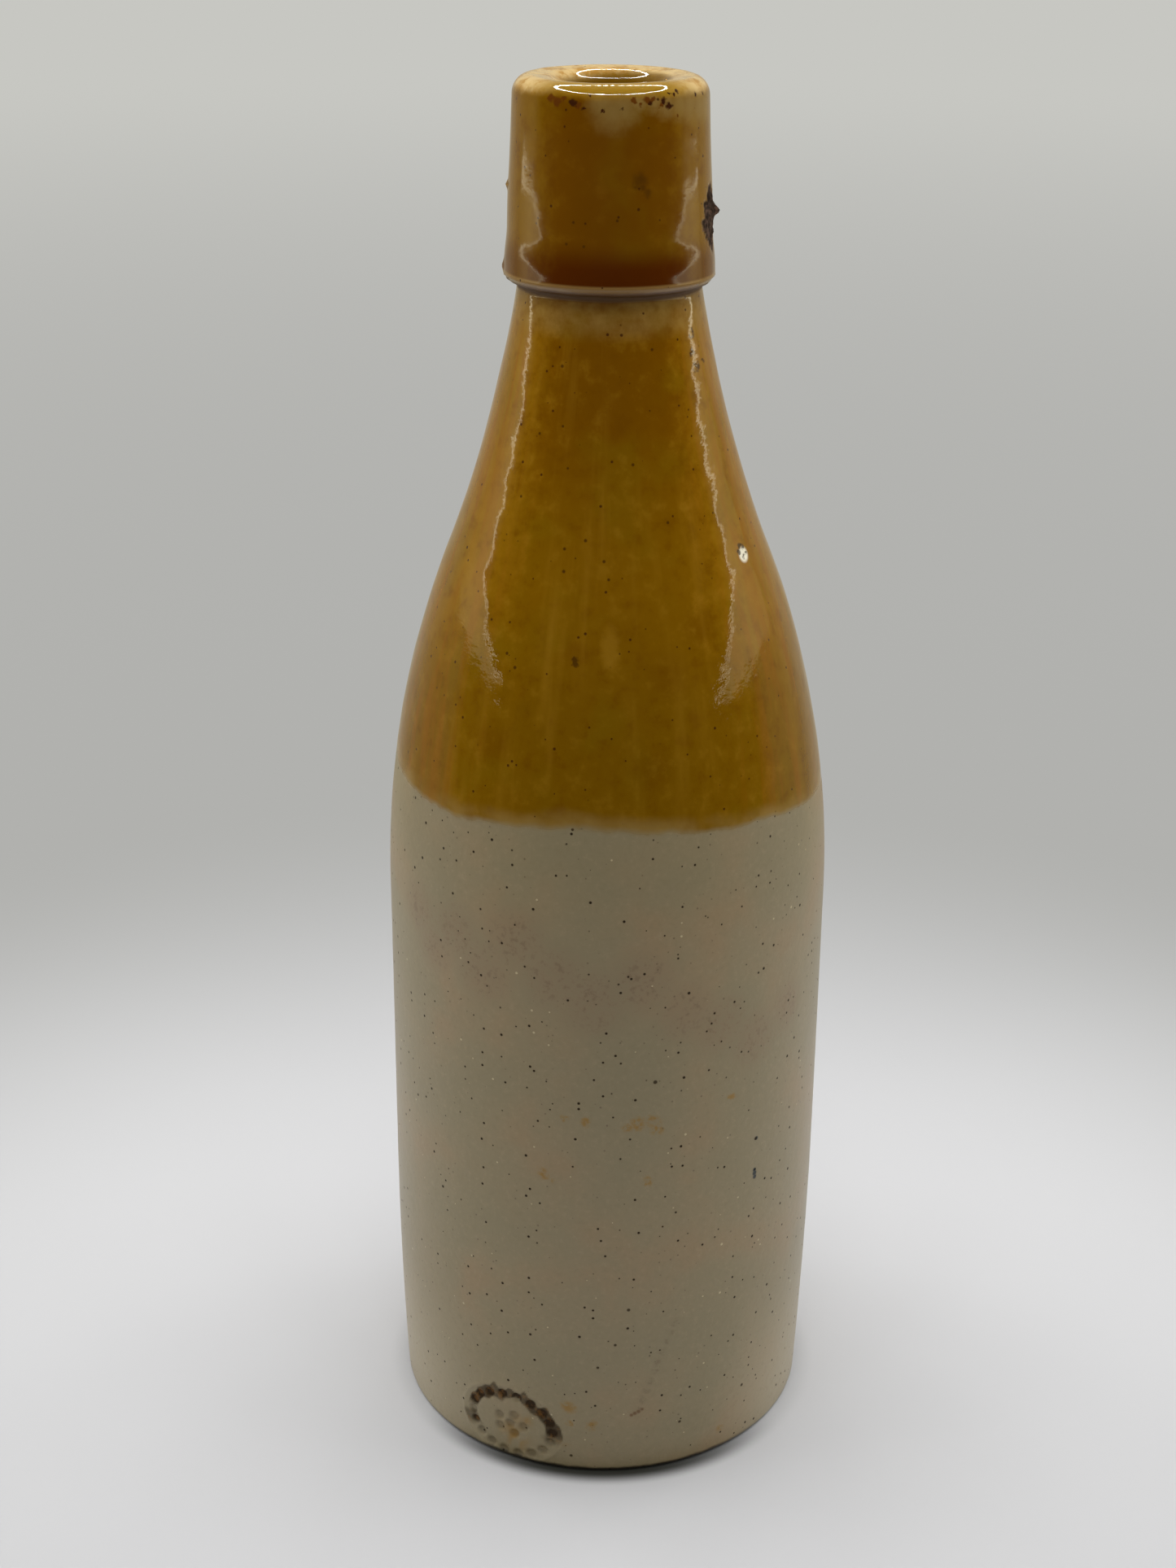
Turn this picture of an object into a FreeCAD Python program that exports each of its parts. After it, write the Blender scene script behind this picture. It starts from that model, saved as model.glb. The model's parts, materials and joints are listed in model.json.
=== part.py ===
import FreeCAD, Part
import math
import os

# Stoneware ginger beer bottle: one fired piece, thrown hollow and turned true. Lengths are in millimetres.
# The origin is the centre of the underside of the base, and +Z runs up the middle and out of the mouth.

# Heights of the three stretches, stacked from the table up
BODY_HEIGHT = 92.0
SHOULDER_HEIGHT = 94.3
LIP_HEIGHT = 29.0

# Body and foot
BODY_RADIUS = 34.75
FOOT_DRAW_IN = 1.1
FOOT_DRAW_HEIGHT = 44.5
FOOT_EDGE_ROUND = 1.0

# Shoulder and neck: a full lower arc that leaves the body upright flows into a hollow upper arc that meets the
# lip with a slight lean. The balance is the reach of the lower arc's first tangent, measured up to where it
# meets the arc's last tangent, as a multiple of the same reach on the upper arc.
NECK_RADIUS = 13.4
NECK_LEAN_DEGREES = 9.3
SHOULDER_BALANCE = 1.37

# Lip, which stands out from the neck and narrows towards the rim
LIP_OVERHANG = 1.65
LIP_DRAW_IN = 1.0
LIP_EDGE_BEVEL = 0.7
RIM_OUTER_ROUND = 2.3
RIM_INNER_ROUND = 2.0

# Mouth and cork bore
BORE_RADIUS = 6.1
MOUTH_FLARE = 0.9
MOUTH_DEPTH = 6.0

# Hollow for the drink: upright in the body and a little above it, then an even taper up to the bore
BODY_WALL = 6.8
HOLLOW_RISE = 13.0
FLOOR_THICKNESS = 8.5
FLOOR_BEVEL = 5.0

# What the two roundings of the rim leave of the flat between them
SMALLEST_FLAT = 0.2

POSITION_TOLERANCE = 0.001

# Sizes that follow from the values above
neck_top = BODY_HEIGHT + SHOULDER_HEIGHT
total_height = neck_top + LIP_HEIGHT
lip_bottom_radius = NECK_RADIUS + LIP_OVERHANG
lip_top_radius = lip_bottom_radius - LIP_DRAW_IN
mouth_radius = BORE_RADIUS + MOUTH_FLARE
hollow_radius = BODY_RADIUS - BODY_WALL
hollow_shoulder = BODY_HEIGHT + HOLLOW_RISE
rim_width = lip_top_radius - mouth_radius


def at(radius, height):
    """A point of the section, given by its distance from the axis and its height."""
    return FreeCAD.Vector(radius, 0, height)


def straight_edges(points):
    """Straight edges from each point to the next."""
    return [Part.LineSegment(start, end).toShape() for start, end in zip(points, points[1:])]


def arc_edge(centre, radius, start_angle, end_angle):
    """An arc of the section round a centre, between two angles in radians above level, as edge and ends."""
    def on_arc(angle):
        return centre + at(radius * math.cos(angle), radius * math.sin(angle))
    start, middle, end = [on_arc(angle) for angle in (start_angle, (start_angle + end_angle) / 2, end_angle)]
    return Part.Arc(start, middle, end).toShape(), start, end


def tangent_arc(start, heading, end):
    """The arc that leaves a point in the given direction and runs to the end point."""
    chord = end - start
    sideways = FreeCAD.Vector(-heading.z, 0, heading.x)
    radius = chord.dot(chord) / (2 * chord.dot(sideways))
    centre = start + sideways * radius
    outward = (start + end) / 2 - centre
    middle = centre + outward.normalize() * abs(radius)
    return Part.Arc(start, middle, end).toShape()


def foot_edges():
    """The flat base, its rounded edge, and the shallow arc that widens the foot until it stands upright.

    The rounding touches the base and lies inside the shallow arc, so it flows into both.
    """
    draw_radius = (FOOT_DRAW_HEIGHT ** 2 + FOOT_DRAW_IN ** 2) / (2 * FOOT_DRAW_IN)
    draw_centre = at(BODY_RADIUS - draw_radius, FOOT_DRAW_HEIGHT)
    rise = FOOT_DRAW_HEIGHT - FOOT_EDGE_ROUND
    slope = -math.asin(rise / (draw_radius - FOOT_EDGE_ROUND))
    round_centre = draw_centre + at((draw_radius - FOOT_EDGE_ROUND) * math.cos(slope), -rise)
    edge_round, base_end, _ = arc_edge(round_centre, FOOT_EDGE_ROUND, -math.pi / 2, slope)
    draw, _, _ = arc_edge(draw_centre, draw_radius, slope, 0)
    return straight_edges([at(0, 0), base_end]) + [edge_round, draw]


def shoulder_edges():
    """The full lower arc and the hollow upper arc of the shoulder and neck, which flow into each other.

    The tangents at the two ends of an arc cross at its corner. The arcs meet on the line between their corners,
    as far from each corner as that corner is from its own end of the curve, and this fixes both distances.
    """
    lean = math.radians(NECK_LEAN_DEGREES)
    start = at(BODY_RADIUS, BODY_HEIGHT)
    end = at(NECK_RADIUS, neck_top)
    upright = at(0, 1)
    leaning = at(-math.sin(lean), math.cos(lean))
    chord = end - start
    square = 2 * SHOULDER_BALANCE * (1 - upright.dot(leaning))
    linear = SHOULDER_BALANCE * chord.dot(upright) + chord.dot(leaning)
    reach = (math.sqrt(linear ** 2 + square * chord.dot(chord)) - linear) / square
    lower_corner = start + upright * (SHOULDER_BALANCE * reach)
    upper_corner = end - leaning * reach
    slant = upper_corner - lower_corner
    meeting = lower_corner + slant * (SHOULDER_BALANCE / (1 + SHOULDER_BALANCE))
    return [tangent_arc(start, upright, meeting), tangent_arc(meeting, slant.normalize(), end)]


def outside_edges():
    """The outside from the middle of the base to the outer edge of the rim."""
    body = straight_edges([at(BODY_RADIUS, FOOT_DRAW_HEIGHT), at(BODY_RADIUS, BODY_HEIGHT)])
    lip = straight_edges([
        at(NECK_RADIUS, neck_top),
        at(lip_bottom_radius - LIP_EDGE_BEVEL, neck_top),
        at(lip_bottom_radius, neck_top + LIP_EDGE_BEVEL),
        at(lip_top_radius, total_height),
    ])
    return foot_edges() + body + shoulder_edges() + lip


def inside_edges():
    """The inside from the outer edge of the rim, down the bore and hollow, to the middle of the floor."""
    return straight_edges([
        at(lip_top_radius, total_height),
        at(mouth_radius, total_height),
        at(BORE_RADIUS, total_height - MOUTH_DEPTH),
        at(BORE_RADIUS, neck_top),
        at(hollow_radius, hollow_shoulder),
        at(hollow_radius, FLOOR_THICKNESS + FLOOR_BEVEL),
        at(hollow_radius - FLOOR_BEVEL, FLOOR_THICKNESS),
        at(0, FLOOR_THICKNESS),
    ])


def turned_clay():
    """The section through the clay, turned once round the axis."""
    middle = straight_edges([at(0, FLOOR_THICKNESS), at(0, 0)])
    outline = Part.sortEdges(outside_edges() + inside_edges() + middle)[0]
    section = Part.Face(Part.Wire(outline))
    return section.revolve(FreeCAD.Vector(0, 0, 0), FreeCAD.Vector(0, 0, 1), 360)


def ring_edges(solid, radius, height):
    """The round edges of a solid that lie at the given radius and height."""
    found = []
    for edge in solid.Edges:
        box = edge.BoundBox
        at_height = abs(box.ZMin - height) < POSITION_TOLERANCE and abs(box.ZMax - height) < POSITION_TOLERANCE
        if at_height and abs(box.XMax - radius) < POSITION_TOLERANCE:
            found.append(edge)
    return found


def rounded_rim(solid):
    """The solid with the outer and the inner corner of its rim rounded, as a wet sponge leaves them."""
    room = (rim_width - SMALLEST_FLAT) / 2
    for radius, rounding in ((lip_top_radius, RIM_OUTER_ROUND), (mouth_radius, RIM_INNER_ROUND)):
        solid = solid.makeFillet(min(rounding, room), ring_edges(solid, radius, total_height))
    return solid


def bottle():
    """The whole bottle as one solid."""
    return rounded_rim(turned_clay()).Solids[0]


os.makedirs("parts", exist_ok=True)
bottle().exportStep("parts/bottle.step")
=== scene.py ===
import json
import math

import bpy
import numpy as np
from mathutils import Matrix, Vector


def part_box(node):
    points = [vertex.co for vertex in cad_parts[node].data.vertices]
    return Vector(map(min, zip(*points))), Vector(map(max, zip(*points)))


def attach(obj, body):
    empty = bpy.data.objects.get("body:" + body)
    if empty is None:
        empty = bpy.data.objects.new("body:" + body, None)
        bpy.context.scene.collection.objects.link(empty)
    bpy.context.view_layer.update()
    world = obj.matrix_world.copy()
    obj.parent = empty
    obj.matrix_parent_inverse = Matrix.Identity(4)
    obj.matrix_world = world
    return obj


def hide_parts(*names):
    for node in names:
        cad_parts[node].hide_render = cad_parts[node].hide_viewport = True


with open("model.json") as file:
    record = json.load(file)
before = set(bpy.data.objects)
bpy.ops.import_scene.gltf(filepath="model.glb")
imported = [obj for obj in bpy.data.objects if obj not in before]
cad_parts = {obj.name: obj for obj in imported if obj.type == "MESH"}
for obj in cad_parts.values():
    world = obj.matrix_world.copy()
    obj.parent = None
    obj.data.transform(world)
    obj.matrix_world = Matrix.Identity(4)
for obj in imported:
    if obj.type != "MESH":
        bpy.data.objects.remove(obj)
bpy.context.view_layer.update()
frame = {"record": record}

# Stoneware ginger beer bottle: ochre glaze over the shoulder and lip, thin clear glaze over cream clay below.
# Lengths are in millimetres and become metres where an object is made. Azimuth is 0 towards the camera's
# side, -Y, and grows towards +X.

MM = 0.001
_, top_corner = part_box("bottle")

# Sizes of the clay, as in the solid
total_height = top_corner.z / MM
BODY_RADIUS = top_corner.x / MM
BODY_HEIGHT = 92.0
LIP_HEIGHT = 29.0
FOOT_DRAW_IN = 1.1
FOOT_DRAW_HEIGHT = 44.5
FOOT_EDGE_ROUND = 1.0
NECK_RADIUS = 13.4
NECK_LEAN = math.radians(9.3)
SHOULDER_BALANCE = 1.37
LIP_OVERHANG = 1.65
LIP_DRAW_IN = 1.0
MOUTH_FLARE = 0.9
MOUTH_DEPTH = 6.0
BODY_WALL = 6.8
HOLLOW_RISE = 13.0
FLOOR_THICKNESS = 8.5
FLOOR_BEVEL = 5.0
bore_mount = next(mount for mount in frame["record"]["mounts"] if mount["name"] == "mouth_bore")
BORE_RADIUS = bore_mount["dims"]["r_mm"]

neck_top = total_height - LIP_HEIGHT
lip_radius = NECK_RADIUS + LIP_OVERHANG
mouth_radius = BORE_RADIUS + MOUTH_FLARE
hollow_radius = BODY_RADIUS - BODY_WALL

# Sizes of the finished skin that the solid has only in plain form
LIP_EDGE_ROUND = 1.1
BAND_STEP = 0.32
BAND_TOP = 194.0
BAND_FADE = 5.0
BELLY_RISE = 0.1
BELLY_HEIGHT = 198.0
BELLY_REACH = 5.0
COVE_RADIUS = 0.5
COVE_GAP = 0.1
RIM_ROUND_WIDTH = 2.6
RIM_ROUND_HEIGHT = 2.8
RIM_INNER_ROUND = 2.7
RIM_INNER_DROP = 0.2
RIM_DIP = 0.35
RIM_DIP_START = 205.0
RIM_DIP_MARGIN = 1.0
SKIN_INSET = 0.1
AXIS_FADE = 8.0

# The bottle isn't quite straight: the foot and, more so, the lip stand to one side of the body. Each shift
# grows from the first height to the second.
FOOT_SHIFT = -0.12
FOOT_SHIFT_HEIGHTS = (50.0, 10.0)
LIP_SHIFT = -0.65
LIP_SHIFT_HEIGHTS = (80.0, 200.0)

# Glaze line round the bottle, which dips towards +X, towards the back and most at one azimuth
GLAZE_LINE = 113.5
GLAZE_LINE_TILT = -2.0
GLAZE_LINE_BOW = 1.4
GLAZE_DIP = 1.9
GLAZE_DIP_AZIMUTH = math.radians(-46.0)
GLAZE_DIP_EDGE = 0.8
dip_direction = (math.sin(GLAZE_DIP_AZIMUTH), -math.cos(GLAZE_DIP_AZIMUTH), 0.0)

# Rows and columns of the skin's mesh: the usual spacings, and the finer bands as start, end and spacing
COLUMN_SPACING = 2.6
FINE_COLUMNS = ((-96.0, -77.0, 1.0), (-43.0, -10.0, 0.38), (50.0, 96.0, 0.9))
INSIDE_SPACING = 6.0
EDGE_SPACING = 0.4
SHOULDER_SPACING = 1.0
BODY_SPACING = 1.8
FINE_ROWS = ((0.9, 15.0, 0.26), (126.4, 132.4, 0.45), (147.0, 150.8, 0.4))
BASE_HEIGHT = 0.1
BASE_MARGIN = 4.0
FOOT_EDGE_TOP = 0.9
LIP_MARGIN = 3.0
OUTLINE_STEP = 0.05
OUTLINE_SMOOTHING = 7
SEED = 41


def srgb(red, green, blue):
    """A colour written as it looks on screen, 0 to 255, as the linear colour that the shader takes."""
    def linear(value):
        value /= 255
        return value / 12.92 if value <= 0.04045 else ((value + 0.055) / 1.055) ** 2.4
    return linear(red), linear(green), linear(blue), 1.0


def surface_point(azimuth, height, radius):
    """A point in metres, given by its azimuth in degrees and its height and radius in millimetres."""
    angle = math.radians(azimuth)
    return Vector((radius * math.sin(angle), -radius * math.cos(angle), height)) * MM


def add_object(name, data):
    """An object with the given data, linked to the scene."""
    thing = bpy.data.objects.new(name, data)
    bpy.context.scene.collection.objects.link(thing)
    return thing


def add_mesh(name, verts, faces):
    """An object with a mesh of the given points and faces."""
    mesh = bpy.data.meshes.new(name)
    mesh.from_pydata(verts, [], faces)
    return add_object(name, mesh)


def ring_faces(first, rings, columns):
    """Faces that join rings of points, each of that many columns, from the first point on."""
    faces = []
    for low in range(first, first + (rings - 1) * columns, columns):
        for column in range(columns):
            after = (column + 1) % columns
            faces.append((low + column, low + after, low + columns + after, low + columns + column))
    return faces


def fan_faces(first, columns, tip):
    """Faces that join a ring of points to a tip."""
    return [(first + column, first + (column + 1) % columns, tip) for column in range(columns)]


# Camera

CAMERA_SIDE = -0.44
CAMERA_BACK = 338.57
CAMERA_UP = 248.01
CAMERA_PITCH = 0.39447
CAMERA_YAW = 0.00807
CAMERA_ROLL = 0.00767
CAMERA_LENS = 53.243
SENSOR_LONG_SIDE = 36.0
CLIP_START = 10.0


def make_camera():
    """The camera where the photograph was taken from, a little above the lip and looking down."""
    data = bpy.data.cameras.new("camera")
    data.lens = CAMERA_LENS
    data.sensor_fit = "VERTICAL"
    data.sensor_height = SENSOR_LONG_SIDE
    data.clip_start = CLIP_START * MM
    camera = add_object("camera", data)
    turn = Matrix.Rotation(CAMERA_YAW, 4, "Z") @ Matrix.Rotation(math.pi / 2 - CAMERA_PITCH, 4, "X")
    place = Matrix.Translation(Vector((CAMERA_SIDE, -CAMERA_BACK, CAMERA_UP)) * MM)
    camera.matrix_world = place @ turn @ Matrix.Rotation(CAMERA_ROLL, 4, "Z")
    bpy.context.scene.camera = camera


# Outline of the skin, as dense points (radius, height) that the rows of the mesh are picked from

def smooth_step(low, high, value):
    """0 on the side of low, 1 on the side of high and a smooth change between."""
    t = np.clip((value - low) / (high - low), 0, 1)
    return t * t * (3 - 2 * t)


def line_points(start, end):
    """Points from start up to, and without, the end."""
    start, end = np.array(start, float), np.array(end, float)
    count = max(int(np.linalg.norm(end - start) / OUTLINE_STEP), 1)
    return start + (end - start) * (np.arange(count) / count)[:, None]


def oval_points(centre, width, height, start_angle, end_angle):
    """Points on an oval arc up to, and without, its end. The angles are in radians above level."""
    count = max(int(abs(end_angle - start_angle) * max(width, height) / OUTLINE_STEP), 1)
    angles = start_angle + (end_angle - start_angle) * np.arange(count) / count
    return np.array(centre) + np.stack([width * np.cos(angles), height * np.sin(angles)], axis=-1)


def tangent_arc_points(start, heading, end):
    """Points on the arc that leaves the start in the given direction and runs to the end."""
    chord = end - start
    sideways = np.array([-heading[1], heading[0]])
    radius = chord @ chord / (2 * chord @ sideways)
    centre = start + sideways * radius
    first = math.atan2(start[1] - centre[1], start[0] - centre[0])
    last = math.atan2(end[1] - centre[1], end[0] - centre[0])
    sweep = (last - first + math.pi) % (2 * math.pi) - math.pi
    return oval_points(centre, abs(radius), abs(radius), first, first + sweep)


def foot_outline():
    """The flat base, its rounded edge and the shallow arc that widens the foot."""
    draw_radius = (FOOT_DRAW_HEIGHT ** 2 + FOOT_DRAW_IN ** 2) / (2 * FOOT_DRAW_IN)
    inner_radius = draw_radius - FOOT_EDGE_ROUND
    slope = -math.asin((FOOT_DRAW_HEIGHT - FOOT_EDGE_ROUND) / inner_radius)
    draw_centre = (BODY_RADIUS - draw_radius, FOOT_DRAW_HEIGHT)
    edge_centre = (draw_centre[0] + inner_radius * math.cos(slope), FOOT_EDGE_ROUND)
    return [
        line_points((0, 0), (edge_centre[0], 0)),
        oval_points(edge_centre, FOOT_EDGE_ROUND, FOOT_EDGE_ROUND, -math.pi / 2, slope),
        oval_points(draw_centre, draw_radius, draw_radius, slope, 0),
    ]


def shoulder_outline(cove_start):
    """The full lower arc and the hollow upper arc, drawn up to the cove under the lip."""
    start, end = np.array([BODY_RADIUS, BODY_HEIGHT]), np.array([NECK_RADIUS, neck_top])
    upright, leaning = np.array([0.0, 1.0]), np.array([-math.sin(NECK_LEAN), math.cos(NECK_LEAN)])
    chord = end - start
    square = 2 * SHOULDER_BALANCE * (1 - upright @ leaning)
    linear = SHOULDER_BALANCE * chord @ upright + chord @ leaning
    reach = (math.sqrt(linear ** 2 + square * chord @ chord) - linear) / square
    slant = end - leaning * reach - start - upright * (SHOULDER_BALANCE * reach)
    lower_corner = start + upright * (SHOULDER_BALANCE * reach)
    meeting = lower_corner + slant * SHOULDER_BALANCE / (1 + SHOULDER_BALANCE)
    upper = tangent_arc_points(meeting, slant / np.linalg.norm(slant), end)
    return [tangent_arc_points(start, upright, meeting), upper[upper[:, 1] < cove_start]]


def lip_outline():
    """The cove and edge under the lip, its side with a raised band and a low belly, and the rim."""
    edge_height = neck_top + LIP_EDGE_ROUND
    edge_radius = lip_radius - LIP_EDGE_ROUND
    cove_centre = (NECK_RADIUS + COVE_RADIUS + COVE_GAP, neck_top - COVE_RADIUS)
    side_end = (lip_radius - LIP_DRAW_IN, total_height - RIM_ROUND_HEIGHT)
    side = line_points((lip_radius, edge_height), side_end)
    side[:, 0] += BAND_STEP * smooth_step(BAND_TOP, BAND_TOP - BAND_FADE, side[:, 1])
    side[:, 0] += BELLY_RISE * np.exp(-((side[:, 1] - BELLY_HEIGHT) / BELLY_REACH) ** 2)
    crest_outer = side[-1, 0] - RIM_ROUND_WIDTH
    crest_inner = mouth_radius + RIM_INNER_ROUND
    inner_top = total_height - RIM_INNER_DROP
    flare_top = inner_top - RIM_INNER_ROUND
    return [
        oval_points(cove_centre, COVE_RADIUS, COVE_RADIUS, math.pi, math.pi / 2),
        line_points((cove_centre[0], neck_top), (edge_radius, neck_top)),
        oval_points((edge_radius, edge_height), LIP_EDGE_ROUND, LIP_EDGE_ROUND, -math.pi / 2, 0),
        side,
        oval_points((crest_outer, side[-1, 1]), RIM_ROUND_WIDTH, RIM_ROUND_HEIGHT, 0, math.pi / 2),
        line_points((crest_outer, total_height), (crest_inner, inner_top)),
        oval_points((crest_inner, flare_top), RIM_INNER_ROUND, RIM_INNER_ROUND, math.pi / 2, math.pi),
        line_points((mouth_radius, flare_top), (BORE_RADIUS, total_height - MOUTH_DEPTH)),
    ]


def outside_outline():
    """The whole outside from the middle of the base over the rim and down to the top of the bore."""
    body = line_points((BODY_RADIUS, FOOT_DRAW_HEIGHT), (BODY_RADIUS, BODY_HEIGHT))
    parts = foot_outline() + [body] + shoulder_outline(neck_top - COVE_RADIUS) + lip_outline()
    return np.concatenate(parts)


def hollow_outline():
    """The bore, the taper below it, the upright hollow and its floor."""
    points = [
        (BORE_RADIUS, total_height - MOUTH_DEPTH),
        (BORE_RADIUS, neck_top),
        (hollow_radius, BODY_HEIGHT + HOLLOW_RISE),
        (hollow_radius, FLOOR_THICKNESS + FLOOR_BEVEL),
        (hollow_radius - FLOOR_BEVEL, FLOOR_THICKNESS),
        (0, FLOOR_THICKNESS),
    ]
    lines = [line_points(start, end) for start, end in zip(points, points[1:])]
    return np.concatenate(lines + [np.array([[0.0, FLOOR_THICKNESS]])])


def spacing_in(bands, value, usual):
    """The spacing of the band that holds the value, or the usual one."""
    for start, end, spacing in bands:
        if start <= value < end:
            return spacing
    return usual


def row_spacing(radius, height, outside):
    """How far apart the rows of the mesh lie, finer where the skin has more form."""
    on_base = height < BASE_HEIGHT and radius < BODY_RADIUS - BASE_MARGIN
    if on_base or not outside:
        return INSIDE_SPACING
    if height < FOOT_EDGE_TOP or height > neck_top - LIP_MARGIN:
        return EDGE_SPACING
    usual = SHOULDER_SPACING if height > BODY_HEIGHT else BODY_SPACING
    return spacing_in(FINE_ROWS, height, usual)


def skin_rows():
    """The rows of the skin from the middle of the base to the middle of the hollow's floor.

    Gives radius and height, the two parts of the outward direction, and whether the row is on the outside.
    """
    outside = outside_outline()
    points = np.concatenate([outside, hollow_outline()])
    kernel = np.ones(OUTLINE_SMOOTHING) / OUTLINE_SMOOTHING
    margin = OUTLINE_SMOOTHING // 2
    padded = np.concatenate([points[:1].repeat(margin, 0), points, points[-1:].repeat(margin, 0)])
    rounded = np.stack([np.convolve(padded[:, axis], kernel, "valid") for axis in (0, 1)], axis=-1)
    along = np.gradient(rounded, axis=0)
    along /= np.linalg.norm(along, axis=1)[:, None] + 1e-9
    steps = np.linalg.norm(np.diff(points, axis=0), axis=1)
    picked, walked = [0], 0.0
    for index, step in enumerate(steps, start=1):
        walked += step
        if walked >= row_spacing(*points[index], index < len(outside)):
            picked.append(index)
            walked = 0.0
    if picked[-1] != len(points) - 1:
        picked.append(len(points) - 1)
    picked = np.array(picked)
    outward = np.stack([along[picked, 1], -along[picked, 0]], axis=-1)
    return points[picked], outward, picked < len(outside)


def column_azimuths():
    """The azimuths of the mesh's columns once round the bottle, in degrees."""
    azimuths = [-180.0]
    while azimuths[-1] + 1.5 * COLUMN_SPACING < 180.0:
        azimuths.append(azimuths[-1] + spacing_in(FINE_COLUMNS, azimuths[-1], COLUMN_SPACING))
    return np.array(azimuths)


# Relief of the skin: waves of the thrown wall, runs of glaze, the step of the glaze line, and single marks

# Waves, as their rise, how many are summed, the most turns round the bottle and the shortest length up it:
# thrown and turned ones in the wall, and runs, pools and ripple in the glaze
WALL_WAVES = ((0.03, 10, 3, 60.0), (0.006, 8, 2, 5.0))
GLAZE_WAVES = ((0.018, 24, 26, 90.0), (0.026, 30, 14, 14.0), (0.011, 50, 34, 5.5))
TORN_WAVES = (0.12, 30, 90, 1.6)
STAIN_WAVES = (0.5, 30, 90, 3.0)

# Thickness of the glaze, where it grows above its line, and how much calmer it is on the lip
GLAZE_THICKNESS = 0.04
GLAZE_GROWS = (-0.6, 0.8)
LIP_CALM = 0.5


def ring_waves(random, azimuth, height, waves):
    """The sum of random waves that close round the bottle."""
    rise, count, turns, length = waves
    total = np.zeros(np.broadcast(azimuth, height).shape)
    for _ in range(count):
        whole_turns = random.integers(0, turns + 1)
        climb = random.uniform(-1 / length, 1 / length)
        total += np.sin(whole_turns * azimuth + 2 * math.pi * (climb * height + random.random()))
    return rise * (total / math.sqrt(count))


def glaze_line_height(azimuth):
    """Height of the glaze line at an azimuth in radians."""
    dip = GLAZE_DIP * smooth_step(GLAZE_DIP_EDGE, 1.0, np.cos(azimuth - GLAZE_DIP_AZIMUTH))
    return GLAZE_LINE + GLAZE_LINE_TILT * np.sin(azimuth) - GLAZE_LINE_BOW * (1 - np.cos(azimuth)) - dip


def side_shift(height):
    """How far the skin stands to one side at a height."""
    foot = FOOT_SHIFT * smooth_step(*FOOT_SHIFT_HEIGHTS, height)
    return foot + LIP_SHIFT * smooth_step(*LIP_SHIFT_HEIGHTS, height)


def hill(azimuth, height, place, reach):
    """A hill of height 1 at a place (azimuth in degrees, height, radius), with a reach across and up."""
    across = (azimuth - math.radians(place[0])) * place[2] / reach[0]
    return np.exp(-across ** 2 - ((height - place[1]) / reach[1]) ** 2)


# The oval stamp near the foot: rings of plain round pellets, pressed into the clay, each ring as a count of
# pellets and a share of the oval
STAMP_AZIMUTH = -25.7
STAMP_HEIGHT = 6.9
STAMP_RADIUS = 34.0
STAMP_HALF_WIDTH = 8.9
STAMP_HALF_HEIGHT = 7.0
STAMP_BED = 0.08
STAMP_BED_EDGE = (1.02, 0.96)
STAMP_RIDGE = 0.07
STAMP_RIDGE_PLACE = 1.05
STAMP_RIDGE_WIDTH = 0.035
PELLET_DEPTH = 0.3
PELLET_RADIUS = 0.85
PELLET_RINGS = ((18, 0.83), (5, 0.27), (1, 0.0))


def stamp_fields(azimuth, height):
    """Oval radius and angle in the stamp, and how far each point is in a pellet."""
    across = (azimuth - math.radians(STAMP_AZIMUTH)) * STAMP_RADIUS
    up = height - STAMP_HEIGHT
    angle = np.arctan2(up / STAMP_HALF_HEIGHT, across / STAMP_HALF_WIDTH)
    pellets = np.zeros_like(angle)
    for count, share in PELLET_RINGS:
        for turn in 2 * math.pi * np.arange(count) / count:
            right = share * STAMP_HALF_WIDTH * math.cos(turn)
            above = share * STAMP_HALF_HEIGHT * math.sin(turn)
            away = np.hypot(across - right, up - above)
            pellets = np.maximum(pellets, smooth_step(PELLET_RADIUS * 1.2, PELLET_RADIUS * 0.7, away))
    return np.hypot(across / STAMP_HALF_WIDTH, up / STAMP_HALF_HEIGHT), angle, pellets


def stamp_relief(azimuth, height):
    """The stamp's shallow bed, its pellets and the low ridge that the die pushed up round it."""
    reach, _, pellets = stamp_fields(azimuth, height)
    bed = STAMP_BED * smooth_step(*STAMP_BED_EDGE, reach)
    ridge = STAMP_RIDGE * np.exp(-((reach - STAMP_RIDGE_PLACE) / STAMP_RIDGE_WIDTH) ** 2)
    return ridge - bed - PELLET_DEPTH * pellets


# Glaze bumps, as azimuth, height, radius there, rise, and reach across and up
GLAZE_BUMPS = (
    (-24.8, 130.9, 29.7, 0.12, 0.9, 1.1),
    (-18.6, 127.8, 30.6, 0.09, 0.6, 0.8),
    (-31.0, 133.4, 29.0, 0.10, 0.9, 1.6),
    (-26.5, 127.5, 30.8, 0.07, 0.7, 1.0),
    (-88.0, 199.8, 15.0, 0.35, 0.5, 0.5),
    (-86.0, 188.4, 15.2, 0.30, 0.7, 0.8),
    (-81.0, 187.0, 15.2, 0.20, 0.5, 0.5),
    (57.5, 148.9, 23.7, -0.35, 0.75, 0.9),
    (57.5, 148.9, 23.7, 0.22, 1.3, 1.5),
)

# Kiln scar on the lip, where another pot stuck: a torn pointed patch with a knob. The waves of its outline
# are given as depth and how fast they run up it and round.
SCAR_PLACE = (77.0, 196.0, 15.0)
SCAR_HALF_WIDTH = 3.6
SCAR_HALF_HEIGHT = 4.9
SCAR_DEPTH = 0.05
SCAR_EDGE = (0.12, -0.08)
SCAR_OUTLINE_WAVES = ((0.12, 9, 23), (0.07, 26, 0))
KNOB_PLACE = (84.0, 196.6, 15.0)
KNOB_REACH = (1.0, 0.9)
KNOB_RISE = 0.95


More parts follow.
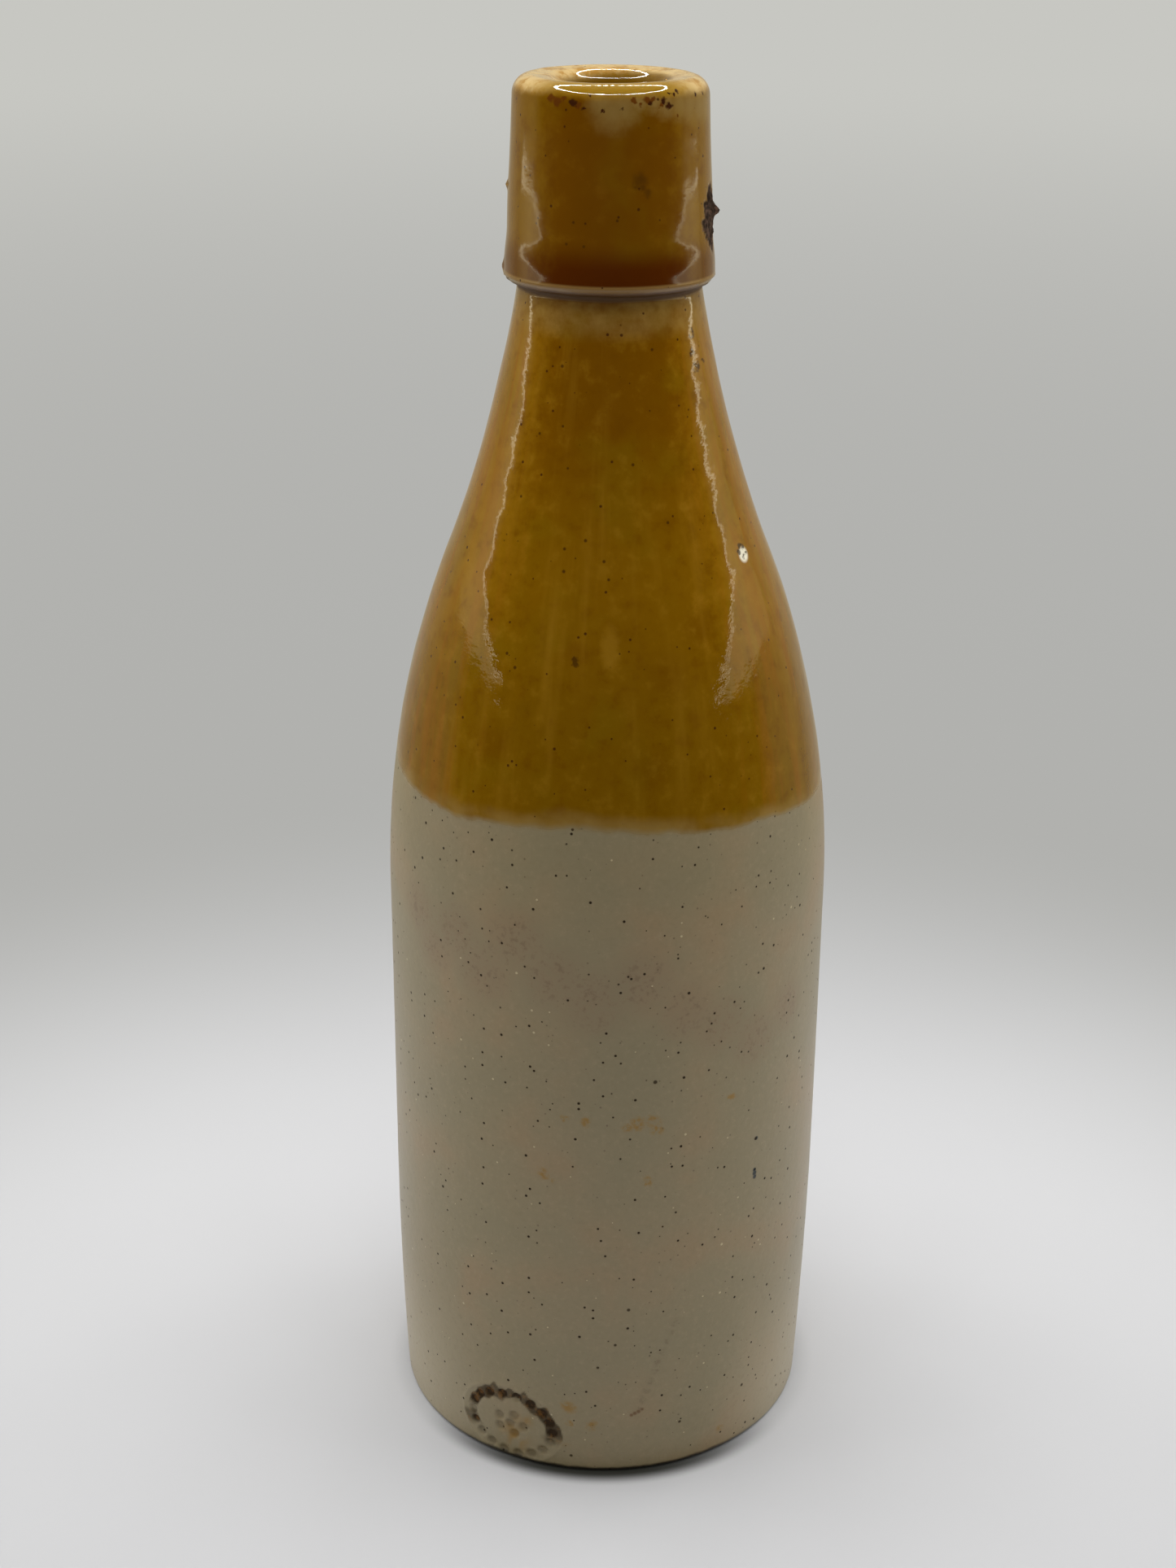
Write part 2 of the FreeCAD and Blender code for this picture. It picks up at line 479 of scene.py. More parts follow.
def scar_share(azimuth, height):
    """1 inside the scar's pointed patch and 0 outside it."""
    up = (height - SCAR_PLACE[1]) / SCAR_HALF_HEIGHT
    across = np.abs(azimuth - math.radians(SCAR_PLACE[0])) * SCAR_PLACE[2] / SCAR_HALF_WIDTH
    ragged = sum(depth * np.sin(rises * up + turns * azimuth) for depth, rises, turns in SCAR_OUTLINE_WAVES)
    return smooth_step(*SCAR_EDGE, across + ragged - np.clip(1 - up ** 2, -1, 1))


def relief(azimuth, height):
    """How far the skin stands out at an azimuth in radians and a height, without the inset."""
    random = np.random.default_rng(SEED)
    glazed = smooth_step(*GLAZE_GROWS, height - glaze_line_height(azimuth))
    lip = smooth_step(neck_top - 1, neck_top + 1, height)
    wall = sum(ring_waves(random, azimuth, height, waves) for waves in WALL_WAVES)
    glaze = sum(ring_waves(random, azimuth, height, waves) for waves in GLAZE_WAVES)
    total = wall + glazed * (GLAZE_THICKNESS + (1 - LIP_CALM * lip) * glaze)
    total = total + stamp_relief(azimuth, height)
    for bump in GLAZE_BUMPS:
        total += bump[3] * hill(azimuth, height, bump[:3], bump[4:])
    torn = scar_share(azimuth, height)
    rough = ring_waves(random, azimuth, height, TORN_WAVES)
    total += torn * (rough - SCAR_DEPTH) + KNOB_RISE * hill(azimuth, height, KNOB_PLACE, KNOB_REACH) * torn
    return total


# Mesh of the bottle

# The stamp's brown stain: its edges as shares of the oval, how unevenly it spreads, and the degrees above
# level where it begins and ends over the top and where the fainter stain on the left begins
STAIN_INNER = (0.66, 0.72)
STAIN_OUTER = (1.0, 0.95)
STAIN_UNEVEN = 0.14
STAIN_BEGINS = (-28, 2)
STAIN_ENDS = (178, 160)
STAIN_LEFT = (146, 162)
STAIN_LEFT_SHARE = 0.7

# Rust in and beside the stamp, as azimuth from its middle, height, strength, and reach across and up
STAMP_RUST = (
    (1.2, 4.6, 1.0, 1.9, 2.6),
    (-7.2, 11.9, 0.8, 1.0, 1.2),
    (4.6, 8.6, 0.8, 1.2, 1.0),
    (14.3, 5.2, 0.9, 1.0, 0.35),
)


def skin_values(azimuth, height):
    """What the material reads at each corner: brown stain and rust in the stamp, and the kiln scar."""
    random = np.random.default_rng(SEED + 1)
    reach, angle, pellets = stamp_fields(azimuth, height)
    patchy = 0.5 + ring_waves(random, azimuth, height, STAIN_WAVES)
    turn = np.degrees(angle)
    upper = smooth_step(*STAIN_BEGINS, turn) * smooth_step(*STAIN_ENDS, turn)
    left = smooth_step(*STAIN_LEFT, np.abs(turn)) * smooth_step(0.0, -0.15, np.sin(angle))
    spread = reach + STAIN_UNEVEN * (patchy - 0.5)
    spread = smooth_step(*STAIN_INNER, spread) * smooth_step(*STAIN_OUTER, spread)
    ends = 0.85 + 0.15 * smooth_step(0.3, 0.8, np.abs(np.cos(angle)))
    stain = spread * (upper + STAIN_LEFT_SHARE * left) * ends * (0.85 + 0.3 * pellets) + 0.25 * pellets
    rust = sum(
        strength * hill(azimuth, height, (STAMP_AZIMUTH + aside, up, STAMP_RADIUS), reaches)
        for aside, up, strength, *reaches in STAMP_RUST
    )
    rust = rust * smooth_step(0.1, 0.8, patchy)
    return {"stain": np.clip(stain, 0, 1), "rust": rust, "scar": scar_share(azimuth, height)}


def turned_skin(rows, directions, outside):
    """A closed skin turned from the rows, whose first and last row are single points on the axis."""
    angles = np.radians(column_azimuths())[None, :]
    columns, count = angles.shape[1], len(rows)
    radius, plain_height = rows[:, 0:1], rows[:, 1:2]
    rise = np.where(outside[:, None], relief(angles, plain_height) - SKIN_INSET, 0.0)
    rise = rise * smooth_step(0.0, AXIS_FADE, radius) * smooth_step(0.0, FOOT_EDGE_ROUND, plain_height)
    radius = radius + rise * directions[:, 0:1]
    height = plain_height + rise * directions[:, 1:2]
    dipped = smooth_step(RIM_DIP_START, total_height - RIM_DIP_MARGIN, plain_height)
    height = height - RIM_DIP * (1 + np.cos(angles)) / 2 * dipped
    sideways = radius * np.sin(angles) + side_shift(plain_height)
    body = np.stack([sideways, -radius * np.cos(angles), height], axis=-1)[1:-1]
    ends = [[[0, 0, rows[end, 1]]] for end in (0, -1)]
    verts = np.concatenate([ends[0], body.reshape(-1, 3), ends[1]]) * MM
    faces = ring_faces(1, count - 2, columns)
    faces += [face[::-1] for face in fan_faces(1, columns, 0)]
    faces += fan_faces(1 + (count - 3) * columns, columns, len(verts) - 1)
    skin = add_mesh("bottle_skin", verts.tolist(), faces)
    for name, values in skin_values(angles, plain_height).items():
        values = np.where(outside[:, None], values, 0.0)[1:-1].ravel()
        layer = skin.data.attributes.new(name, "FLOAT", "POINT")
        layer.data.foreach_set("value", np.concatenate([[0.0], values, [0.0]]).astype(np.float32))
    return skin


def make_bottle():
    """The bottle's finished skin, which stands for the plain solid."""
    bottle = turned_skin(*skin_rows())
    for polygon in bottle.data.polygons:
        polygon.use_smooth = True
    bottle.data.materials.append(stoneware())
    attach(bottle, "root")
    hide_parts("bottle")


# Materials

class Graph:
    """A small helper that adds nodes to a material or the world and joins them."""

    def __init__(self, owner):
        self.owner = owner
        owner.use_nodes = True
        self.tree = owner.node_tree
        self.tree.nodes.clear()

    def add(self, kind, inputs=None, **settings):
        """A node with some inputs, each a value or another node's socket, and settings."""
        node = self.tree.nodes.new(kind)
        for name, value in settings.items():
            setattr(node, name, value)
        for name, value in (inputs or {}).items():
            if isinstance(value, bpy.types.NodeSocket):
                self.tree.links.new(value, node.inputs[name])
            else:
                node.inputs[name].default_value = value
        return node

    def math(self, operation, first, second=0.0):
        return self.add("ShaderNodeMath", {0: first, 1: second}, operation=operation).outputs[0]

    def times(self, *values):
        """The product of some sockets or numbers."""
        result = values[0]
        for value in values[1:]:
            result = self.math("MULTIPLY", result, value)
        return result

    def vector(self, operation, first, second=(0, 0, 0)):
        return self.add("ShaderNodeVectorMath", {0: first, 1: second}, operation=operation).outputs[0]

    def measure(self, operation, first, second=(0, 0, 0)):
        """A number taken from vectors, such as a length or a distance."""
        node = self.add("ShaderNodeVectorMath", {0: first, 1: second}, operation=operation)
        return node.outputs["Value"]

    def parts(self, vector):
        return self.add("ShaderNodeSeparateXYZ", {0: vector}).outputs

    def position(self):
        """The place on the object, in metres."""
        return self.add("ShaderNodeTexCoord").outputs["Object"]

    def point(self):
        """The place on the object, in millimetres."""
        return self.vector("MULTIPLY", self.position(), (1 / MM, 1 / MM, 1 / MM))

    def step(self, value, low, high, low_result=0.0, high_result=1.0):
        """A smooth change from one result to the other as the value goes from low to high."""
        inputs = {"Value": value, 1: low, 2: high, 3: low_result, 4: high_result}
        return self.add("ShaderNodeMapRange", inputs, interpolation_type="SMOOTHSTEP").outputs[0]

    def between(self, value, low, high, fade):
        """1 from low to high and a smooth fall to 0 on both sides."""
        return self.times(self.step(value, low - fade, low), self.step(value, high + fade, high))

    def mix(self, amount, first, second):
        """The first colour where the amount is 0 and the second where it is 1."""
        node = self.add("ShaderNodeMix", {0: amount, 6: first, 7: second}, data_type="RGBA")
        return node.outputs[2]

    def blend(self, amount, first, second):
        """The same for two numbers."""
        return self.add("ShaderNodeMix", {0: amount, 2: first, 3: second}, data_type="FLOAT").outputs[0]

    def noise(self, vector, size, detail=2.0, roughness=0.5, output=0):
        """Noise about 0.5 whose patches are about that many units of the vector across."""
        inputs = {"Vector": vector, "Scale": 1 / size, "Detail": detail, "Roughness": roughness}
        return self.add("ShaderNodeTexNoise", inputs).outputs[output]

    def sway(self, value, amount):
        """A value about 0.5 turned into one about 0 that is so many times as strong."""
        return self.times(self.math("SUBTRACT", value, 0.5), amount)

    def shaken(self, vector, size, reach, detail, roughness):
        """The vector moved by noise, by up to half the reach to each side."""
        move = self.vector("MULTIPLY", self.noise(vector, size, detail, roughness, 1), (reach,) * 3)
        return self.vector("SUBTRACT", self.vector("ADD", vector, move), (reach / 2,) * 3)

    def specks(self, vector, spacing, smallest, largest, share):
        """Round specks: cells of that spacing, a share of which hold a speck between two radii."""
        cells = self.add("ShaderNodeTexVoronoi", {"Vector": vector, "Scale": 1 / spacing})
        split = self.add("ShaderNodeSeparateColor", {0: cells.outputs["Color"]})
        chosen = self.math("LESS_THAN", split.outputs[0], share)
        radius = self.blend(split.outputs[1], smallest / spacing, largest / spacing)
        near = self.math("DIVIDE", cells.outputs["Distance"], radius)
        return self.times(self.step(near, 1.1, 0.6), chosen)

    def spots(self, vector, places, edge=0.35):
        """Spots at given places (azimuth, height, reach), with an edge as wide as that share of the reach."""
        result = 0.0
        for azimuth, height, reach in places:
            away = self.measure("DISTANCE", vector, spot_centre(azimuth, height))
            spot = self.step(away, reach * (1 + edge), reach * (1 - edge))
            result = self.math("MAXIMUM", spot, result)
        return result

    def layered(self, colour, *layers):
        """The colour with layers over it, each a colour and the amounts whose product is its strength."""
        for layer, *amounts in layers:
            colour = self.mix(self.times(*amounts), colour, layer)
        return colour

    def attribute(self, name):
        return self.add("ShaderNodeAttribute", attribute_name=name).outputs["Fac"]

    def shown(self):
        """1 for what is seen directly, in gloss or through glass, and 0 for light on its way to a surface."""
        path = self.add("ShaderNodeLightPath").outputs
        seen = self.math("ADD", path["Is Camera Ray"], path["Is Glossy Ray"])
        return self.math("MINIMUM", self.math("ADD", seen, path["Is Transmission Ray"]), 1.0)

    def finish(self, shader, output="ShaderNodeOutputMaterial"):
        self.add(output, {0: shader})
        return self.owner


def outer_profile():
    """Heights and radii of the outside up to the crest of the rim."""
    points = outside_outline()
    points = points[:np.argmax(points[:, 1])]
    return points[:, 1], points[:, 0]


profile_heights, profile_radii = outer_profile()


def spot_centre(azimuth, height):
    """The place on the skin, in millimetres, at an azimuth and a height."""
    radius = np.interp(height, profile_heights, profile_radii) - SKIN_INSET
    angle = math.radians(azimuth)
    return radius * math.sin(angle) + side_shift(height), -radius * math.cos(angle), height


# Colours of the glaze and the clay, as they look on screen
OCHRE_LOW = srgb(102, 70, 2)
OCHRE_MIDDLE = srgb(105, 71, 2)
OCHRE_HIGH = srgb(96, 60, 1)
OCHRE_LIP = srgb(90, 54, 1)
# Painted light: the next three are the ochre as it looks lit more strongly at both sides
OCHRE_SIDE_LIT = srgb(120, 84, 8)
OCHRE_LIP_SIDE_LIT = srgb(106, 74, 7)
OCHRE_LOW_SIDE_LIT = srgb(104, 73, 4)
OCHRE_RUN = srgb(118, 72, 8)
OCHRE_OLIVE = srgb(102, 76, 4)
OCHRE_PALE = srgb(132, 97, 24)
OCHRE_THIN = srgb(126, 102, 54)
OCHRE_DARK = srgb(88, 52, 1)
OCHRE_MOUTH = srgb(98, 68, 2)
BROWN_POOL = srgb(66, 28, 1)
# Partly glaze pooled under the lip, partly painted shade under it
PURPLE_POOL_AND_SHADE = srgb(68, 46, 22)
# Partly paler glaze on the lip's lower edge, partly a painted highlight along it
PALE_EDGE_AND_HIGHLIGHT = srgb(130, 102, 56)
RIM_CREAM = srgb(182, 155, 102)
RIM_ORANGE = srgb(152, 112, 46)
RIM_GOLD = srgb(130, 97, 16)
RIM_PALE = srgb(120, 97, 50)
CREAM = srgb(125, 111, 82)
CREAM_WARM = srgb(128, 109, 79)
CREAM_GREY = srgb(120, 109, 81)
# Painted light: the cream as it looks lit more strongly on the foot's sides
CREAM_FOOT_SIDE_LIT = srgb(146, 134, 108)
CREAM_DARK = srgb(112, 99, 71)
CREAM_PALE = srgb(136, 122, 93)
SMUDGE = srgb(119, 99, 73)
SCUFF = srgb(103, 87, 61)
PALE_GRIT = srgb(166, 153, 120)
IRON = srgb(34, 22, 8)
IRON_SOFT = srgb(58, 34, 6)
IRON_RED = srgb(50, 24, 8)
STAIN_DARK = srgb(44, 30, 11)
STAIN_BROWN = srgb(90, 60, 22)
# Painted shade: the dark contact shadow along the foot's edge
FOOT_EDGE_SHADE = srgb(34, 29, 20)
RUST = srgb(124, 93, 32)
RUST_RED = srgb(80, 41, 8)
BLUE_BLACK = srgb(16, 22, 22)
SCAR_DARK = srgb(34, 21, 11)
SCAR_PINK = srgb(76, 54, 40)
CRATER_WHITE = srgb(208, 202, 180)

# Heights on the bottle: a change runs from the first to the second, and a band lies between them and fades
# over the third
LOW_CHANGE = (126.0, 148.0)
HIGH_CHANGE = (150.0, 172.0)
LIP_CHANGE = (184.0, 190.0)
LIP_SIDE_CHANGE = (178.0, 192.0)
STREAKS_END = (184.0, 178.0)
POOL_BAND = (187.4, 190.0, 4.6)
NECK_BAND = (182.8, 185.0, 3.2)
# The pale band is partly a painted highlight on the lip's lower edge
PALE_HIGHLIGHT_BAND = (187.2, 187.8, 0.4)
# The purple band is partly painted shade under the lip
POOL_AND_SHADE_BAND = (186.0, 186.5, 0.8)
DULL_BAND = (185.8, 186.6, 0.5)
SOFT_BAND = (188.0, 207.0, 4.0)
RIM_CHANGE = (212.7, 214.1)
MOUTH_CHANGE = (200.0, 204.0)
GRAIN_CHANGE = (128.0, 152.0)
# Heights over which the painted light on the foot's sides grows
FOOT_SIDE_LIT_CHANGE = (34.0, 4.0)
# Heights over which the painted shade on the foot's edge sets in
FOOT_SHADE_CHANGE = (1.15, 0.55)

# Heights above the glaze line, radii in the mouth, and shares of the way to the side and to the back
GLAZE_CHANGE = (-0.8, 0.7)
THIN_CHANGE = (3.0, 0.3)
MOUTH_RADII = (8.6, 7.4)
# Where the painted light at the ochre's sides grows
LIT_SIDE_CHANGE = (0.45, 0.88)
RIM_FRONT = (-0.45, -0.85)
# Where the painted shade on the foot's edge grows towards the front
FOOT_SHADE_FRONT = (-0.5, -0.97)

# Marks at their places, as azimuth, height and reach
RIM_IRON = (
    (-22.5, 212.5, 0.55), (-20.5, 212.4, 0.4), (-12.2, 213.4, 0.22), (-14.9, 211.7, 0.3),
    (-4.3, 211.4, 0.3), (6.4, 211.7, 0.24), (22.0, 212.4, 0.4), (31.0, 212.6, 0.45), (34.0, 212.0, 0.5),
    (35.3, 213.6, 0.3), (41.3, 213.8, 0.42), (38.0, 213.4, 0.25), (57.0, 213.0, 0.4), (66.0, 213.2, 0.3),
)
RIM_RUST = (
    (-36.0, 212.8, 0.55), (-32.0, 212.6, 0.6), (-28.0, 212.9, 0.4), (-18.0, 212.2, 0.35),
    (13.0, 212.9, 0.4), (16.0, 212.3, 0.3), (20.5, 212.8, 0.5), (23.5, 212.9, 0.4), (29.0, 212.2, 0.3),
    (39.5, 210.5, 0.25),
)
IRON_DOTS = (
    (-78.4, 182.3, 0.35), (-25.6, 176.6, 0.24), (24.5, 179.0, 0.22), (23.9, 155.5, 0.22),
    (-8.4, 153.4, 0.25), (-1.4, 150.7, 0.24), (-15.6, 149.1, 0.25), (0.3, 148.3, 0.22),
    (10.9, 163.6, 0.22), (-17.8, 162.9, 0.2), (-22.1, 168.5, 0.2), (-33.9, 167.1, 0.22),
    (-38.3, 158.2, 0.2), (-62.6, 149.0, 0.24), (68.8, 163.0, 0.22), (-31.5, 137.1, 0.24),
    (-28.1, 135.4, 0.26), (-16.1, 152.1, 0.24), (4.0, 197.0, 0.2), (-20.0, 196.6, 0.2),
    (-24.0, 193.6, 0.2), (-14.0, 193.4, 0.2), (43.0, 58.0, 0.3), (-0.9, 21.0, 0.24), (22.2, 8.5, 0.26),
    (42.8, 11.0, 0.28), (3.6, 25.4, 0.24), (6.9, 32.0, 0.28), (-8.0, 3.0, 0.26), (12.6, 72.7, 0.32),
)
BROWN_SPOTS = ((-9.7, 137.4, 0.6), (-9.6, 136.9, 0.5))
BLUE_DROPS = ((43.0, 52.3, 0.34), (43.1, 51.7, 0.44), (43.2, 51.0, 0.38), (43.3, 58.0, 0.32))
RUST_MARKS = (
    (8.3, 65.7, 1.0), (5.5, 65.2, 0.7), (13.3, 64.5, 0.9), (12.2, 66.0, 0.9), (-4.7, 66.0, 0.7),
    (-10.0, 66.6, 0.6), (11.1, 55.4, 0.8), (-15.5, 56.3, 0.8), (-13.0, 55.0, 0.5), (34.1, 67.4, 0.6),
    (-8.8, 12.7, 1.1), (-2.4, 9.5, 0.9), (35.4, 4.2, 0.6), (-8.2, 9.6, 0.6),
)
SCRATCH = tuple((19.6 - 1.05 * part, 28.6 - 1.8 * part, 0.6) for part in range(10))
SCRATCH_END = ((8.4, 11.4, 0.3), (9.3, 11.7, 0.34), (10.3, 12.0, 0.34), (11.3, 12.4, 0.26))
SMUDGES = (
    (-56.0, 94.5, 3.6), (-49.0, 89.5, 3.4), (-41.0, 93.5, 4.2), (-32.0, 89.0, 4.4), (-23.0, 95.0, 4.4),
    (-13.0, 90.0, 4.4), (-3.0, 86.5, 4.6), (9.0, 89.5, 4.4), (20.0, 84.0, 4.0), (30.0, 80.5, 4.0),
    (41.0, 76.5, 4.0), (54.0, 79.0, 3.4),
)
BROWN_PATCHES = (
    (-33.0, 124.0, 2.4), (-9.7, 138.4, 1.6), (18.0, 135.0, 2.6), (30.0, 141.0, 2.2), (12.0, 122.0, 2.4),
)
CRATER = ((57.5, 148.9, 1.1),)
CRATER_RIM = (
    (55.2, 149.6, 0.45), (56.8, 150.2, 0.45), (58.6, 149.9, 0.4), (59.6, 148.9, 0.3), (57.4, 148.6, 0.42),
)
RIM_PALE_PATCH = (
    (-5.0, 212.3, 1.6), (1.0, 211.4, 2.2), (7.0, 211.8, 1.9), (15.0, 212.6, 1.2), (24.0, 212.6, 1.2),
    (33.0, 212.0, 1.4), (42.0, 212.0, 1.7), (51.0, 211.8, 1.9), (60.0, 211.6, 2.0), (69.0, 211.4, 2.0),
)
LIP_SMUDGES = ((16.8, 202.4, 0.8), (17.6, 201.3, 0.5), (20.6, 200.6, 0.5), (14.0, 201.6, 0.4))
NECK_FLECKS = (
    (54.0, 180.4, 0.8), (53.0, 178.0, 0.7), (54.5, 175.6, 0.9), (60.0, 178.6, 0.5), (62.0, 176.2, 0.4),
)

# A pale streak in the glaze: its middle, its reach and core across, and these as a share of those up
STREAK_PLACE = (0.7, 139.0)
STREAK_REACH = 1.9
STREAK_CORE = 0.57
STREAK_SQUEEZE = 0.3

# Scales of the noise that draws runs out down the bottle
RUNS_ACROSS = (30, 30, 30)
RUNS_UP = (0, 0, 0.12)


def ochre_tone(g, point, height, above, around, mottle, wobbly):
    """Mottled and streaked ochre, thin just above the glaze line and painted lighter at the sides as painted
    light, and 1 where that painted light is.
    """
    low, high = g.step(height, *LOW_CHANGE), g.step(height, *HIGH_CHANGE)
    lip, lip_side = g.step(height, *LIP_CHANGE), g.step(height, *LIP_SIDE_CHANGE)
    front = g.mix(lip, g.mix(high, g.mix(low, OCHRE_LOW, OCHRE_MIDDLE), OCHRE_HIGH), OCHRE_LIP)
    # Painted light: the ochre turns to its lighter side colours towards both sides
    sideways = g.math("ADD", g.math("ABSOLUTE", g.parts(around)[0]), g.sway(mottle, 0.5))
    side = g.step(sideways, *LIT_SIDE_CHANGE)
    lit_sides = g.mix(lip_side, g.mix(low, OCHRE_LOW_SIDE_LIT, OCHRE_SIDE_LIT), OCHRE_LIP_SIDE_LIT)
    broad = g.noise(g.vector("ADD", point, (40, 7, 3)), 12.0, 3.0)
    upright = Vector((1, 1, STREAK_SQUEEZE))
    centre = Vector(spot_centre(*STREAK_PLACE)) * upright
    away = g.measure("DISTANCE", g.vector("MULTIPLY", wobbly, upright), centre)
    across, up = g.vector("MULTIPLY", around, RUNS_ACROSS), g.vector("MULTIPLY", point, RUNS_UP)
    drawn = g.vector("ADD", across, up)
    below_lip = g.step(height, *STREAKS_END)
    ochre = g.layered(
        g.mix(side, front, lit_sides),
        (OCHRE_OLIVE, g.step(broad, 0.5, 0.7, 0.0, 0.5)),
        (OCHRE_DARK, g.step(mottle, 0.5, 0.26, 0.0, 0.45)),
        (OCHRE_DARK, g.spots(wobbly, BROWN_PATCHES, 0.9), 0.4),
        (OCHRE_PALE, g.step(away, STREAK_REACH, STREAK_CORE, 0.0, 0.45)),
        (OCHRE_PALE, g.step(g.noise(drawn, 5.0, 3.0, 0.6), 0.5, 0.8, 0.0, 0.4), below_lip),
        (OCHRE_RUN, g.step(g.noise(drawn, 2.4, 3.0, 0.6), 0.45, 0.62, 0.0, 0.5), side, below_lip),
        (OCHRE_PALE, g.step(mottle, 0.5, 0.8, 0.0, 0.35), g.blend(lip, 1.0, 0.4)),
        (OCHRE_THIN, g.step(above, *THIN_CHANGE), g.step(g.noise(point, 6.0, 3.0), 0.3, 0.65, 0.1, 0.75)),
    )
    return ochre, side


def ochre_colour(g, point, height, above, around):
    """The ochre glaze with the bands at the foot of the lip, among them a pale line that is partly a painted
    highlight and a purple-brown band that is partly painted shade, the pale rim, iron and rust, and the scar.
    """
    wobbly = g.shaken(point, 1.1, 1.6, 3.0, 0.6)
    mottle = g.noise(point, 2.6, 4.0, 0.6)
    ochre, side = ochre_tone(g, point, height, above, around, mottle, wobbly)
    rim = g.mix(g.step(g.noise(point, 2.4, 4.0, 0.65), 0.42, 0.66), RIM_CREAM, RIM_ORANGE)
    rim = g.mix(g.step(g.parts(around)[1], *RIM_FRONT, 0.0, 0.95), rim, RIM_GOLD)
    edge = g.math("ADD", height, g.sway(g.noise(point, 3.0, 3.0), 1.4))
    level = g.measure("LENGTH", g.vector("MULTIPLY", point, (1, 1, 0)))
    torn = g.mix(g.step(g.noise(point, 0.8, 3.0, 0.6), 0.45, 0.65), SCAR_DARK, SCAR_PINK)
    return g.layered(
        ochre,
        (BROWN_POOL, g.between(height, *POOL_BAND), g.blend(side, 1.0, 0.6)),
        (OCHRE_THIN, g.between(height, *NECK_BAND), g.step(mottle, 0.3, 0.7, 0.15, 0.5)),
        # Partly paler glaze, partly a painted highlight along the lip's lower edge
        (PALE_EDGE_AND_HIGHLIGHT, g.between(height, *PALE_HIGHLIGHT_BAND), 0.6),
        # Partly pooled glaze, partly painted shade under the lip
        (PURPLE_POOL_AND_SHADE, g.between(height, *POOL_AND_SHADE_BAND)),
        (RIM_PALE, g.spots(wobbly, RIM_PALE_PATCH, 0.95), 0.75),
        (IRON_SOFT, g.spots(wobbly, LIP_SMUDGES, 0.9), 0.6),
        (rim, g.step(edge, *RIM_CHANGE)),
        (OCHRE_MOUTH, g.step(level, *MOUTH_RADII), g.step(height, *MOUTH_CHANGE), 0.92),
        (RUST_RED, g.spots(wobbly, RIM_RUST), 0.95),
        (IRON_RED, g.spots(wobbly, RIM_IRON)),
        (IRON_SOFT, g.spots(wobbly, BROWN_SPOTS), 0.8),
        (IRON_SOFT, g.spots(wobbly, NECK_FLECKS), g.step(g.noise(point, 0.9, 3.0), 0.45, 0.6)),
        (IRON_RED, g.specks(point, 2.0, 0.10, 0.26, 0.85), 0.85),
        (CRATER_WHITE, g.spots(point, CRATER, 0.3)),
        (IRON, g.spots(wobbly, CRATER_RIM, 0.4), 0.85),
        (torn, g.attribute("scar")),
    )


def clay_colour(g, point, height, around, specks):
    """Speckled cream clay with smudges, rust and a scratch, the stamp's stain, painted light that makes the
    foot paler at its sides, and painted shade along the foot's edge.
    """
    wobbly = g.shaken(point, 1.6, 2.4, 4.0, 0.65)
    fine = g.noise(point, 0.9, 4.0, 0.65)
    broad = g.noise(g.vector("ADD", point, (9, 30, 5)), 18.0, 3.0)
    plain = g.mix(g.step(broad, 0.35, 0.65), CREAM_GREY, g.mix(g.step(broad, 0.5, 0.7), CREAM, CREAM_WARM))
    beside = g.step(g.math("ABSOLUTE", g.parts(around)[0]), 0.45, 0.95)
    scuffed = g.spots(wobbly, SMUDGES, 0.7)
    stain = g.mix(g.step(g.noise(point, 1.3, 3.0, 0.6), 0.5, 0.66), STAIN_DARK, STAIN_BROWN)
    edge = g.math("ADD", height, g.sway(g.noise(point, 3.0, 3.0), 0.7))
    return g.layered(
        plain,
        # Painted light: the foot paler low down on both sides
        (CREAM_FOOT_SIDE_LIT, g.step(height, *FOOT_SIDE_LIT_CHANGE), beside),
        (CREAM_DARK, g.step(fine, 0.5, 0.3, 0.0, 0.3)),
        (CREAM_PALE, g.step(fine, 0.52, 0.72, 0.0, 0.4)),
        (SMUDGE, scuffed, g.step(fine, 0.35, 0.65, 0.25, 0.8)),
        (SCUFF, scuffed, g.step(fine, 0.54, 0.64, 0.0, 0.6)),
        (SCUFF, g.spots(wobbly, SCRATCH, 0.7), g.step(fine, 0.42, 0.58, 0.1, 0.75)),
        (RUST, g.spots(wobbly, RUST_MARKS, 0.6), g.step(fine, 0.38, 0.56, 0.1, 0.95)),
        (STAIN_BROWN, g.spots(point, SCRATCH_END, 0.5), 0.85),
        (PALE_GRIT, g.specks(g.vector("ADD", point, (3, 5, 7)), 3.0, 0.10, 0.26, 0.7)),
        (IRON, specks),
        (IRON_SOFT, g.specks(g.vector("ADD", point, (8, 1, 4)), 1.6, 0.09, 0.2, 0.8), 0.5),
        (BLUE_BLACK, g.spots(point, BLUE_DROPS)),
        (RUST, g.attribute("rust")),
        (stain, g.attribute("stain")),
        # Painted shade: a dark contact shadow along the foot's edge, strongest in front
        (FOOT_EDGE_SHADE, g.step(edge, *FOOT_SHADE_CHANGE), g.step(g.parts(around)[1], *FOOT_SHADE_FRONT, 0.12, 0.95)),
    )


# Roughness of the glaze, what the lip's side adds to it, and that of the clay and of dull places, such as
# stains, specks and the scar
GLAZE_BLUR = 0.05
LIP_BLUR = 0.05
CLAY_BLUR = 0.36
DULL_BLUR = 0.6

# Specular level, usual and in dull places
SHINE = 0.5
DULL_SHINE = 0.15


